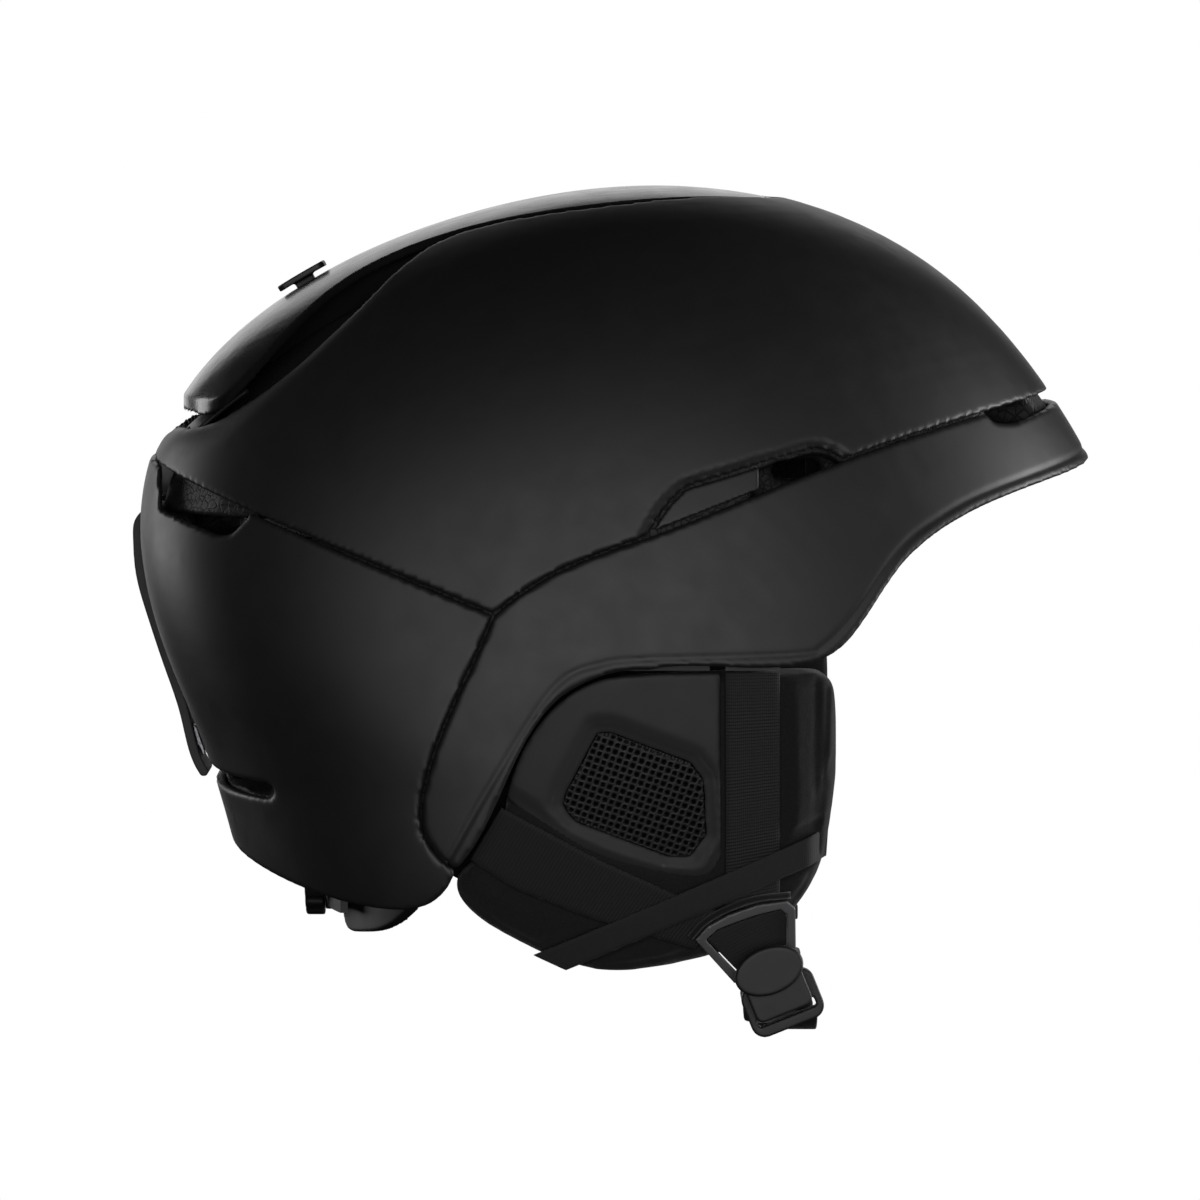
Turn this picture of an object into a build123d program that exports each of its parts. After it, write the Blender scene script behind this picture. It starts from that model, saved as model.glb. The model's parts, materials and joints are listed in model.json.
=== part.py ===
from build123d import *
import math
import os

# Ski helmet. Millimetres. +X is forward, +Y is the wearer's left, +Z is up.
# The origin is the middle of the wearer's head, between the ears.

# ---- driving dimensions: the shells ----
HALF_WIDTH = 107.0          # middle plane to the widest point, above the ear
SHELL = 2.5                 # wall of every moulded shell
SEAM = 1.0                  # open joint between neighbouring shells
LINER_SKIN = 3.0            # depth of the foam liner's outer face under the shells' faces
LINER_INNER = 28.0          # depth of the foam liner's inner face
COMFORT = 5.0               # thickness of the comfort pads inside the liner
BODY_CENTRE = (12.0, -38.0)  # X and Z about which every side section is scaled
SIDE_SHIFT = -22.0          # how far the widest section lies behind the middle one
SCALE_POWER, WIDTH_POWER = 2.4, 2.3
FAR = 150.0                 # half-length of a cutting tool, beyond every face

# Middle section of the closed egg that the shells are cut from, X and Z.
MIDDLE = [
    (142.5, 55.7), (126, 81.6), (99, 109.6), (63, 128.9), (9, 136.7),
    (-45, 127.7), (-99, 102.7), (-126, 77.1), (-138.9, 45.1), (-137.5, 18),
    (-131, -3.4), (-119.4, -32.7), (-111, -62), (-98, -95), (-60, -128),
    (0, -140), (70, -125), (120, -75), (147, -15), (149, 25),
]
SECTION_ANGLES = (85, 76, 66, 54, 41, 28, 14)

# ---- edges of the shells in side view, X and Z ----
BROW_SEAM = [(-33, 16.8), (-26, 22.3), (-11.5, 30.5), (9.7, 38.3), (42.3, 50.6), (82.8, 64.5),
             (126.5, 74.6), (155, 78)]
NAPE_SEAM = [(-33, 16.8), (-82.4, 36.4), (-155, 63.5)]
WING_SEAM = [(-33, 16.8), (-42.4, -4.3), (-52.4, -31.3), (-53.6, -39), (-44, -55.5)]
WING_EDGE = [(-44, -55.5), (-29.8, -30.5), (-13.7, -5.8), (-1.6, 0.1), (11, 1.4)]
TEMPLE_EDGE = [(11, 1.4), (53.5, 2.3), (62.1, 4.9), (72.1, 15), (83.8, 30.9), (94.1, 39), (112.2, 47.2),
               (155, 58.5)]
NAPE_EDGE = [(-44, -55.5), (-52.9, -66.3), (-66.7, -67.6), (-99.3, -60.5), (-155, -57)]

# ---- crown channel and spine, half outlines in plan, X and Y ----
CHANNEL_EDGE = [(43, 17.5), (26.3, 27), (-14.7, 35.9), (-52.6, 37.8), (-68.2, 50.4), (-95.3, 58.9),
                (-114.5, 54.1), (-128.9, 28.7), (-133, 0)]
SPINE_EDGE = [(43, 15.5), (26.4, 24.6), (-14.7, 31.9), (-61.6, 30.4), (-79, 35.4), (-100.2, 49),
              (-110, 51), (-122.5, 34), (-127, 0)]
SPINE_SINK = 0.7            # how far the spine's face lies under the crown's
CHANNEL_FLOOR = 12.0        # depth of the channel's foam floor
FRONT_WALL = (64.0, 65.5)   # foam wall behind the front vent: X of its upright axis, and radius
REAR_WALL = (-19.9, 112.6)  # foam wall behind the rear vents
SLOT_WALL = (-20.0, 88.0)   # foam wall behind the low slot's front ends

# ---- vent slider, on an arc about a cross axis ----
SPINE_ARC = [(-99, 102.7), (-45, 127.7), (9, 136.7)]
VENT_TRAVEL = 8.0
VENT_PITCH = 17.0
VENT_COUNT = 3
VENT_X = -48.0              # the middle vent's place along the arc
VENT_HALF_WIDTH = 20.0
SLIDE_THICK = 1.2           # wall of the vent track and of the shutter over it
KNOB_X = -91.0              # the knob's place along the arc
KNOB_LENGTH, KNOB_WIDTH = 15.4, 15.0
STEM_LENGTH, STEM_WIDTH = 6.0, 5.8

# ---- goggle clip ----
CLIP_PIN = (-132.8, 41.5)   # X and Z of the hinge
CLIP_HALF_WIDTH = 9.0
CLIP_THICK = 2.8
CLIP_BORE = 1.3

# ---- ear pads: layers follow one large sphere ----
PAD_SPHERE = 300.0
PAD_REACH = 100.5           # middle plane to the ear pad's highest point
PAD_TOP = (-5.0, 5.0)       # X and Z of that point
PAD_INNER_SPHERE = 500.0
PAD_INNER_REACH = 80.5
PAD_CLEARANCE = 1.6         # ear pad to the shells' edge
PAD_LOWER = [(-46.2, -62.0), (-44, -67.5), (-25.8, -79.9), (-3, -88.3), (25.6, -84.2), (42.7, -79),
             (55.5, -67.5), (62, -51.7), (63.9, -25.9), (64.7, -5.8)]
WINDOW = [(-3.6, -17.2), (0, -17.2), (22.5, -25.9), (26.3, -31.0), (27.1, -47), (22.5, -53.3),
          (16.9, -53.3), (-10.1, -42.8), (-13.5, -38.1), (-12.6, -34.5)]
DIVIDER = [(24.2, -77.4), (27.5, -73.6), (33.5, -70.2), (42, -67.3), (50.4, -66.4), (52.8, -68.6),
           (53.2, -84.3), (50.6, -87.0), (38.6, -91.4), (35.4, -90.6)]
WEBBING = 1.3
STRAP_LIFT = -0.4           # the webbing's inner face over the ear pad's face

# ---- chin strap and buckle ----
BUCKLE_AT = (45.2, -86.0)   # X and Z of the buckle's button
BUCKLE_TILT = 22.0
BUCKLE_FACE = -91.8         # outer face of the buckle's base, on the right
CHIN_X = 51.0
CHIN_WIDTH = 19.0
CHIN_SIDE = 84.5
CHIN_TOP = -96.5            # Z where the strap turns in under the chin
CHIN_LOW = -106.5

# ---- fit system ----
DIAL_Z = -66.0
DIAL_RADIUS = 17.0
DIAL_REAR = -91.3
DIAL_THICK = 5.6
ARM_END = -52.0             # X of the fit arms' front ends
WING_Z = DIAL_Z + 8.2       # middle height of the arms round the nape
ARM_RISER = (22.8, 30.0)    # where an arm rises from its rack to its wing
GEAR_MODULE = 1.0
GEAR_TEETH = 12
RACK_LENGTH = 30.0
RING_X = -6.0               # axis of the cylinder that the cradle follows
RING_RADIUS = 73.5


# ---------------------------------------------------------------- helpers

def flat(points, y=0.0):
    """Side-view points as vectors in the plane at y."""
    return [Vector(x, y, z) for x, z in points]


def normals(points):
    """Unit normals, to the left of the way along the points."""
    found = []
    for i in range(len(points)):
        x0, z0 = points[max(i - 1, 0)]
        x1, z1 = points[min(i + 1, len(points) - 1)]
        run = math.hypot(x1 - x0, z1 - z0)
        found.append((-(z1 - z0) / run, (x1 - x0) / run))
    return found


def beside(points, distance):
    """The points moved sideways, to the left for a positive distance."""
    return [(x + nx * distance, z + nz * distance) for (x, z), (nx, nz) in zip(points, normals(points))]


def side_prism(edges, low=-FAR, high=FAR):
    """A prism across the helmet, from edges drawn in the plane y = 0."""
    face = Face(Wire(edges))
    return Solid.extrude(face.moved(Location((0, low, 0))), Vector(0, high - low, 0))


def side_polygon(points, low=-FAR, high=FAR):
    return side_prism(Wire(Polyline(*flat(points + points[:1])).edges()).edges(), low, high)


def strip(points, width):
    """A prism across the helmet along a seam."""
    left = flat(beside(points, width / 2))
    right = flat(beside(points, -width / 2))
    return side_prism([
        Edge.make_spline(left),
        Edge.make_line(left[-1], right[-1]),
        Edge.make_spline(right),
        Edge.make_line(right[0], left[0]),
    ])


def solids_of(shape):
    return sorted(shape.solids(), key=lambda s: -s.volume)


def largest(shape):
    return solids_of(shape)[0]


def box(x0, x1, y0, y1, z0, z1):
    """A box between two corners."""
    return Solid.make_box(x1 - x0, y1 - y0, z1 - z0, Plane((x0, y0, z0)))


def mirrored(shape):
    return shape.mirror(Plane.XZ)


# ---------------------------------------------------------------- helmet body

def body_section(angle, inset):
    """One side-view section of the egg, at an angle from the middle plane."""
    width = HALF_WIDTH - inset
    y = math.copysign(abs(math.sin(angle)) ** (2 / WIDTH_POWER), angle) * width
    scale = abs(math.cos(angle)) ** (2 / SCALE_POWER)
    cx, cz = BODY_CENTRE
    shift = SIDE_SHIFT * (y / HALF_WIDTH) ** 2
    points = []
    for x, z in MIDDLE:
        reach = math.hypot(x - cx, z - cz)
        k = scale * (reach - inset) / reach
        points.append(Vector(cx + shift + (x - cx) * k, y, cz + (z - cz) * k))
    return Wire(Edge.make_spline(points, periodic=True))


def body(inset):
    """The closed egg, inset evenly from the helmet's outer face."""
    half = [math.radians(a) for a in SECTION_ANGLES]
    angles = [-a for a in half] + [0.0] + half[::-1]
    return Solid.make_loft([body_section(a, inset) for a in angles], ruled=False)


def spline_chain(*paths):
    """Splines through side-view paths that share their end points."""
    return [Edge.make_spline(flat(path)) for path in paths]


def covered(raise_by=0.0):
    """Everything above the helmet's lower edge."""
    paths = [NAPE_EDGE[::-1], WING_EDGE, TEMPLE_EDGE]
    if raise_by:
        whole = NAPE_EDGE[::-1] + WING_EDGE[1:] + TEMPLE_EDGE[1:]
        lifted = beside(whole, raise_by)
        cut_1 = len(NAPE_EDGE)
        cut_2 = cut_1 + len(WING_EDGE) - 1
        paths = [lifted[:cut_1], lifted[cut_1 - 1:cut_2], lifted[cut_2 - 1:]]
    rear, front = paths[0][0], paths[-1][-1]
    corners = flat([front, (front[0], FAR), (rear[0], FAR), rear])
    rest = [Edge.make_line(a, b) for a, b in zip(corners, corners[1:])]
    return side_prism(spline_chain(*paths) + rest)


def plan_prism(half_outline, front_bulge):
    """A prism up through the crown, from a half outline in plan."""
    low, high = 30.0, FAR
    left = [Vector(x, y, low) for x, y in half_outline]
    right = [Vector(x, -y, low) for x, y in half_outline]
    x0, y0 = half_outline[0]
    front = Edge.make_three_point_arc(left[0], Vector(x0 + front_bulge, 0, low), right[0])
    outline = Wire([front, Edge.make_spline(left + right[-2::-1])])
    return Solid.extrude(Face(outline), Vector(0, 0, high - low))


def arc_centre():
    """Centre and radius of the circle through the spine's three points."""
    (ax, az), (bx, bz), (cx, cz) = SPINE_ARC
    d = 2 * (ax * (bz - cz) + bx * (cz - az) + cx * (az - bz))
    a2, b2, c2 = ax * ax + az * az, bx * bx + bz * bz, cx * cx + cz * cz
    x = (a2 * (bz - cz) + b2 * (cz - az) + c2 * (az - bz)) / d
    z = (a2 * (cx - bx) + b2 * (ax - cx) + c2 * (bx - ax)) / d
    return x, z, math.hypot(ax - x, az - z)


ARC_X, ARC_Z, ARC_RADIUS = arc_centre()


def arc_angle(x):
    """Angle up from +X of the spine arc's point at x."""
    return math.acos((x - ARC_X) / ARC_RADIUS)


def arc_point(radius, angle):
    return Vector(ARC_X + radius * math.cos(angle), 0, ARC_Z + radius * math.sin(angle))


def arc_block(angle, length, half_width, low, high):
    """A curved block on the spine arc: low and high are heights over the arc."""
    half = length / 2 / ARC_RADIUS
    inner, outer = ARC_RADIUS + low, ARC_RADIUS + high
    below = [arc_point(inner, angle + turn) for turn in (half, 0, -half)]
    above = [arc_point(outer, angle + turn) for turn in (-half, 0, half)]
    face_edges = [
        Edge.make_three_point_arc(*below),
        Edge.make_line(below[-1], above[0]),
        Edge.make_three_point_arc(*above),
        Edge.make_line(above[-1], below[0]),
    ]
    return side_prism(face_edges, -half_width, half_width)


def vent_angles():
    """Angles of the crown vents, behind and in front of the middle one."""
    middle = arc_angle(VENT_X)
    step = VENT_PITCH / ARC_RADIUS
    return [middle + step * (i - (VENT_COUNT - 1) / 2) for i in range(VENT_COUNT)]


# ---------------------------------------------------------------- shells

def build_shells():
    """Crown, side band with brim, and rear shell, cut apart along their seams."""
    blank = (body(0) - body(SHELL)) & covered()
    for seam in (BROW_SEAM, NAPE_SEAM, WING_SEAM):
        blank = blank - strip(seam, SEAM)
    crown, band, rear = sorted(solids_of(blank)[:3], key=lambda s: -s.center().Z)
    if band.center().X < rear.center().X:
        band, rear = rear, band
    skin = body(0) - body(1.2)
    channel = plan_prism(CHANNEL_EDGE, 7.0)
    vent_mouth = side_prism(side_vent_outline(0.6))
    vent_lip = side_prism(side_vent_outline(2.9))
    crown = largest(crown - channel - vent_mouth - (skin & vent_lip))
    band = largest(band - front_vent_tool())
    rear = largest(rear - rear_vent_tool() - rear_slot_tool() - clip_mouth_tool())
    return {"crown_shell": crown, "brim_band": band, "rear_shell": rear}


def side_vent_outline(grow):
    """The side vent above the brow seam, grown outwards."""
    outline = [(10.5, 37.0), (15.1, 45.4), (21.5, 52.0), (42.3, 58.0), (57, 62.0), (61.5, 61.4),
               (67.5, 57.5)]
    top = flat(beside(outline, grow))
    low = flat([(68.5, 54), (9, 32)])
    return [
        Edge.make_spline(top[:3]),
        Edge.make_line(top[2], top[3]),
        Edge.make_line(top[3], top[4]),
        Edge.make_spline(top[4:]),
        Edge.make_line(top[-1], low[0]),
        Edge.make_line(low[0], low[1]),
        Edge.make_line(low[1], top[0]),
    ]


def front_vent_tool():
    """The brow vent: the band's top edge dips below the crown across the front."""
    return side_polygon([(107.5, 71.6), (111, 68), (116.7, 67.4), (131, 71.4), (155, 75), (155, 82),
                         (107.5, 82)])


def rear_vent_tool():
    """Two vents in the rear shell's top edge, either side of a middle rib."""
    return side_polygon([(-102.8, 42.8), (-108, 37.6), (-111.5, 36.9), (-130.8, 42.7), (-132, 60),
                         (-102.8, 60)])


def rear_slot_tool():
    """The low exhaust slot across the back, with round front ends."""
    z, half, end = -36.2, 2.5, -98.5
    start, low, nose, high, back = flat([
        (-FAR, z - half), (end, z - half), (end + half, z), (end, z + half), (-FAR, z + half)])
    return side_prism([
        Edge.make_line(start, low),
        Edge.make_three_point_arc(low, nose, high),
        Edge.make_line(high, back),
        Edge.make_line(back, start),
    ])


def clip_mouth_tool():
    """The mouth that the goggle clip's hinged end passes through."""
    return box(-FAR, -125, -10.6, 10.6, 34.0, 48.5)


def build_spine():
    """The raised spine of the crown, on two ribs that stand on the liner."""
    prism = plan_prism(SPINE_EDGE, 6.6)
    plate = (body(SPINE_SINK) - body(SPINE_SINK + SHELL)) & prism
    knob = arc_angle(KNOB_X)
    slot_length = VENT_TRAVEL + STEM_LENGTH + 2.0
    slot = arc_block(knob - VENT_TRAVEL / 2 / ARC_RADIUS, slot_length, STEM_WIDTH / 2 + 0.5, -10, 10)
    plate = largest(plate - slot)
    wall = body(SPINE_SINK + SHELL - 0.5) - body(CHANNEL_FLOOR - 0.1)
    ribs = wall & box(-100, 10, 24.5, 26.5, 60, FAR)
    return {"crown_spine": plate + largest(ribs) + mirrored(largest(ribs))}


def build_side_vents():
    """Flush covers over the rear of each side vent."""
    outline = side_prism(side_vent_outline(-0.3))
    above_seam = [(x, z + 1.0) for x, z in BROW_SEAM[:6]]
    seam = side_polygon(above_seam + [(82.8, 100), (-33, 100)])
    ahead = box(-20, 42.0, -FAR, FAR, 20, 90)
    plate = (body(0.9) - body(2.8)) & outline & ahead & seam
    sides = [s for s in plate.solids() if abs(s.center().Y) > 50]
    right = min(sides, key=lambda s: s.center().Y)
    return {"side_vent_cover_right": right, "side_vent_cover_left": mirrored(right)}


# ---------------------------------------------------------------- liner

def build_liner():
    """Foam liner with its vents, dial recess and clip recess."""
    skin = body(LINER_SKIN)
    liner = (skin - body(LINER_INNER)) & covered(2.5)
    floor = skin - body(CHANNEL_FLOOR)
    liner = liner - (floor & plan_prism(CHANNEL_EDGE, 7.0))
    for vent in vent_angles():
        liner = liner - arc_block(vent, VENT_TRAVEL, VENT_HALF_WIDTH, -45, 5)
    for tool, (x, radius) in ((front_vent_tool(), FRONT_WALL), (rear_vent_tool(), REAR_WALL)):
        liner = liner - (tool - Solid.make_cylinder(radius, FAR, Plane((x, 0, 0))))
    x, radius = SLOT_WALL
    slot = rear_slot_tool() - Solid.make_cylinder(radius, FAR, Plane((x, 0, -FAR / 2)))
    liner = liner - (slot - box(-FAR, 0, -24, 24, -60, 0))
    mouth = body(LINER_SKIN) - body(LINER_SKIN + 9.0)
    liner = liner - (mouth & side_prism(side_vent_outline(-1.0)) & box(40, 80, -FAR, FAR, 40, 70))
    for side in (-1, 1):
        liner = liner - box(80, 145, side * 36 - 11, side * 36 + 11, 66.5, 73.5)
        liner = liner - box(-140, -75, side * 60 - 26, side * 60 + 26, 35.5, 42.0)
        liner = liner - box(46, 60, side * 90 - 35, side * 90 + 35, 53.0, 59.0)
    cradle_room = Solid.make_cylinder(RING_RADIUS + 11, 60, Plane((RING_X, 0, -102)))
    liner = liner - (cradle_room & box(-FAR, -36, -90, 90, -FAR, 0)) - box(-FAR, -70, -45, 45, -FAR, -42.0)
    liner = liner - box(-FAR, -121, -13.5, 13.5, 32.0, 50.5)
    for tool in anchor_solids(0.3) + hanger_solids(0.3):
        liner = liner - tool
    return {"foam_liner": largest(liner)}


def build_comfort_pads():
    """Soft pads fixed inside the liner."""
    outer, inner = LINER_INNER + 0.4, LINER_INNER + 0.4 + COMFORT
    layer = body(outer) - body(inner)
    front = layer & box(55, FAR, -58, 58, 50, 84)
    crown = layer & box(-62, 62, -24, 24, 84, FAR)
    side = layer & box(-42, 38, -FAR, -20, 18, 72)
    return {
        "comfort_pad_front": largest(front),
        "comfort_pad_crown": largest(crown),
        "comfort_pad_right": largest(side),
        "comfort_pad_left": mirrored(largest(side)),
    }


# ---------------------------------------------------------------- vent slider

def build_vent_slider():
    """Fixed track, sliding shutter and the knob that stands through the spine."""
    floor = -CHANNEL_FLOOR + 0.5
    shutter_low = floor + SLIDE_THICK + 0.3
    shutter_high = shutter_low + SLIDE_THICK
    vents = vent_angles()
    middle, knob = arc_angle(VENT_X), arc_angle(KNOB_X)
    track = arc_block(middle, 60, 23.5, floor, floor + SLIDE_THICK)
    shutter_length = 50.0
    shutter = arc_block(middle, shutter_length, 21.5, shutter_low, shutter_high)
    for vent in vents:
        window = arc_block(vent, VENT_TRAVEL, VENT_HALF_WIDTH - 2, floor - 3, floor + 5)
        track = track - window
        shutter = shutter - window
    tail_start = shutter_length / 2 - 1
    tail_end = (knob - middle) * ARC_RADIUS + STEM_LENGTH / 2 + 1
    tail_middle = middle + (tail_start + tail_end) / 2 / ARC_RADIUS
    tail = arc_block(tail_middle, tail_end - tail_start, 7.0, shutter_low, shutter_high)
    knob_low, knob_high = 1.0, 2.8
    stem = arc_block(knob, STEM_LENGTH, STEM_WIDTH / 2, shutter_high, knob_low)
    knob_plate = arc_block(knob, KNOB_LENGTH, KNOB_WIDTH / 2, knob_low, knob_high)
    corners = [e for e in knob_plate.edges() if abs(e.length - (knob_high - knob_low)) < 0.01]
    knob_plate = knob_plate.fillet(2.4, corners)
    return {
        "vent_track": track,
        "vent_shutter": shutter + tail,
        "vent_knob": knob_plate + stem,
    }


# ---------------------------------------------------------------- goggle clip

def ribbon(points, thickness, half_width):
    """A band across the middle plane, along a smooth side-view path."""
    left = flat(beside(points, thickness / 2))
    right = flat(beside(points, -thickness / 2))
    return side_prism([
        Edge.make_spline(left),
        Edge.make_three_point_arc(left[-1], end_point(points, thickness), right[-1]),
        Edge.make_spline(right),
        Edge.make_line(right[0], left[0]),
    ], -half_width, half_width)


def rod(x, z, radius, y0, y1):
    """A round bar across the helmet, between two y values."""
    return Solid.make_cylinder(radius, y1 - y0, Plane((x, y0, z), x_dir=(1, 0, 0), z_dir=(0, 1, 0)))


def end_point(points, thickness):
    """The tip of a ribbon's round end."""
    (x0, z0), (x1, z1) = points[-2:]
    run = math.hypot(x1 - x0, z1 - z0)
    return Vector(x1 + (x1 - x0) / run * thickness / 2, 0, z1 + (z1 - z0) / run * thickness / 2)


def build_goggle_clip():
    """Hinged strap clip on the back, with its pin, bracket and end hook."""
    x, z = CLIP_PIN
    arm_path = [(x - 1.0, z - 0.4), (-137.9, 39.0), (-140.5, 35.9), (-140.9, 31.3), (-140.3, 22),
                (-136.7, 8), (-132.0, -6.5), (-127.4, -20.5), (-125.8, -27.5), (-124.2, -33.5),
                (-121.6, -38.8)]
    arm = ribbon(arm_path, CLIP_THICK, CLIP_HALF_WIDTH)
    eye = rod(x, z, 2.6, -CLIP_HALF_WIDTH, CLIP_HALF_WIDTH)
    bore = rod(x, z, CLIP_BORE, -FAR, FAR)
    lug_in, lug_out = CLIP_HALF_WIDTH + 0.4, CLIP_HALF_WIDTH + 3.4
    pin = rod(x, z, CLIP_BORE - 0.05, -lug_out, lug_out)
    lug = box(x, -122.5, lug_in, lug_out, z - 2.7, z + 2.7) + rod(x, z, 2.7, lug_in, lug_out)
    lug = lug - rod(x, z, CLIP_BORE - 0.05, -FAR, FAR)
    base = box(-124.5, -122.0, -lug_out, lug_out, z - 6.0, z + 6.0)
    bracket = largest(lug + mirrored(lug) + base)
    hook = side_polygon([(-125.4, -24.6), (-123.6, -25.2), (-122.5, -28.5), (-121.4, -31.6), (-121.0, -33.8),
                         (-121.9, -34.2), (-122.8, -32.0), (-124.4, -29.4)],
                        1.0 - CLIP_HALF_WIDTH, CLIP_HALF_WIDTH - 1.0)
    return {
        "goggle_clip": largest((arm + eye) - bore),
        "goggle_clip_hook": largest(hook - arm),
        "goggle_clip_pin": pin,
        "goggle_clip_bracket": bracket,
    }


# ---------------------------------------------------------------- fit system

def involute(ratio):
    """Involute angle at a radius given as a ratio to the base circle's."""
    turn = math.sqrt(ratio ** 2 - 1)
    return turn - math.atan(turn)


def gear_profile(teeth, module, backlash):
    """Involute gear outline about the origin, in the local XY plane."""
    pitch = module * teeth / 2
    base = pitch * math.cos(math.radians(20))
    tip, root = pitch + 0.95 * module, pitch - 1.2 * module
    half_pitch_angle = math.pi / 2 / teeth - backlash / 2 / pitch
    start = max(base, root) * 1.0005
    radii = [start + (tip - start) * i / 4 for i in range(5)]
    outline = []
    for tooth in range(teeth):
        middle = 2 * math.pi * tooth / teeth
        flank = [(r, half_pitch_angle + involute(pitch / base) - involute(r / base)) for r in radii]
        foot = [(root, flank[0][1])]
        for r, a in foot + flank:
            outline.append((r * math.cos(middle - a), r * math.sin(middle - a)))
        for r, a in reversed(foot + flank):
            outline.append((r * math.cos(middle + a), r * math.sin(middle + a)))
    return outline


def rack_outline(side, length):
    """Rack with its teeth towards the pinion, in Y and Z about the dial's axis."""
    pitch_line = GEAR_MODULE * GEAR_TEETH / 2
    step = math.pi * GEAR_MODULE
    slope = math.tan(math.radians(20))
    crest, foot, back = 0.75 * GEAR_MODULE, 1.2 * GEAR_MODULE, 3.6
    gap = 0.15
    half_crest = step / 4 - gap / 2 - crest * slope
    half_foot = step / 4 - gap / 2 + foot * slope
    points = [(-length / 2, pitch_line + back), (-length / 2, pitch_line + foot)]
    half_count = int(length / step / 2)
    for i in range(-half_count, half_count):
        y = (i + 0.5) * step
        points += [(y - half_foot, pitch_line + foot), (y - half_crest, pitch_line - crest),
                   (y + half_crest, pitch_line - crest), (y + half_foot, pitch_line + foot)]
    points += [(length / 2, pitch_line + foot), (length / 2, pitch_line + back)]
    return [(y, side * z) for y, z in points]


def cross_prism(points, x0, x1, z_shift=0.0):
    """A prism along X from an outline in Y and Z."""
    loop = [Vector(x0, y, z + z_shift) for y, z in points]
    return Solid.extrude(Face(Wire(Polyline(*loop, loop[0]).edges())), Vector(x1 - x0, 0, 0))


def ring_wall(low_radius, high_radius, z0, z1):
    """A ring about the upright axis that the cradle follows."""
    at = Plane((RING_X, 0, z0))
    return Solid.make_cylinder(high_radius, z1 - z0, at) - Solid.make_cylinder(low_radius, z1 - z0, at)


def cradle_outline():
    """The nape cradle seen from behind, right half mirrored to the left."""
    half = [(0, -54.5), (24, -51), (50, -44), (55, -50), (56, -62), (52, -74), (43, -81), (30, -84),
            (16, -84.5), (6, -81), (0, -80)]
    left = [Vector(-FAR, y, z) for y, z in half]
    right = [Vector(-FAR, -y, z) for y, z in half]
    return Wire([Edge.make_spline(left[:4]), Edge.make_spline(left[3:]),
                 Edge.make_spline(right[3:][::-1]), Edge.make_spline(right[:4][::-1])])


def dial_plane(x):
    """A plane across the dial's axis, facing forward."""
    return Plane((x, 0, DIAL_Z), x_dir=(0, 1, 0), z_dir=(1, 0, 0))


def build_dial():
    """Grooved dial, the pinion behind it and the axle that carries both."""
    gear_rear, gear_front = DIAL_REAR + 6.7, DIAL_REAR + 10.2
    dial = Solid.make_cylinder(DIAL_RADIUS, DIAL_THICK, dial_plane(DIAL_REAR))
    grips = 18
    for i in range(grips):
        angle = 2 * math.pi * i / grips
        reach = DIAL_RADIUS + 0.6
        groove = Solid.make_cylinder(1.5, 20, dial_plane(DIAL_REAR - 5))
        dial = dial - groove.moved(Location((0, reach * math.cos(angle), reach * math.sin(angle))))
    bore = Solid.make_cylinder(1.56, 30, dial_plane(DIAL_REAR - 5))
    head_seat = Solid.make_cylinder(3.5, 1.4, dial_plane(DIAL_REAR - 0.1))
    pinion = cross_prism(gear_profile(GEAR_TEETH, GEAR_MODULE, 0.15), gear_rear, gear_front, DIAL_Z)
    pinion = pinion + Solid.make_cylinder(3.1, 1.1, dial_plane(gear_rear - 1.1))
    axle = Solid.make_cylinder(1.55, 12.0, dial_plane(DIAL_REAR + 0.6))
    axle = axle + Solid.make_cylinder(3.4, 1.2, dial_plane(DIAL_REAR))
    return {
        "fit_dial": dial - bore - head_seat,
        "fit_pinion": largest(pinion - bore),
        "fit_axle": largest(axle),
    }


def build_cradle():
    """Nape cradle, its pad, and the case that closes over the racks."""
    prism = Solid.extrude(Face(cradle_outline()), Vector(FAR, 0, 0))
    seat_rear = DIAL_REAR + 10.6
    cradle = ring_wall(RING_RADIUS - 1.6, RING_RADIUS + 1.0, -100, -20) & prism
    inside, outside = 12.9, 14.4
    seat = box(seat_rear, RING_X - RING_RADIUS + 1.5, -15, 15, DIAL_Z - outside, DIAL_Z + outside)
    round_room = Solid.make_cylinder(DIAL_RADIUS - 0.6, 30, dial_plane(DIAL_REAR))
    seat = seat & round_room
    bore = Solid.make_cylinder(1.58, 30, dial_plane(DIAL_REAR))
    case = box(DIAL_REAR + 5.9, seat_rear, -15, 15, DIAL_Z - outside, DIAL_Z + outside) & round_room
    case = case - box(DIAL_REAR + 6.4, seat_rear, -16, 16, DIAL_Z - inside, DIAL_Z + inside)
    case = case - Solid.make_cylinder(3.3, 30, dial_plane(DIAL_REAR))
    layer = ring_wall(RING_RADIUS - 7.4, RING_RADIUS - 2.0, -100, -20)
    pad = layer & prism & box(-FAR, -40, -44, 44, -74, -40)
    return {
        "nape_cradle": largest((cradle + seat) - bore),
        "fit_case": largest(case),
        "nape_pad": largest(pad),
    }


def across_box(side, inner, outer, low, high):
    """A box on one side, behind the arms' front ends, between two distances from the middle plane."""
    return box(-100, ARM_END, *sorted((side * inner, side * outer)), low, high)


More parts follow.
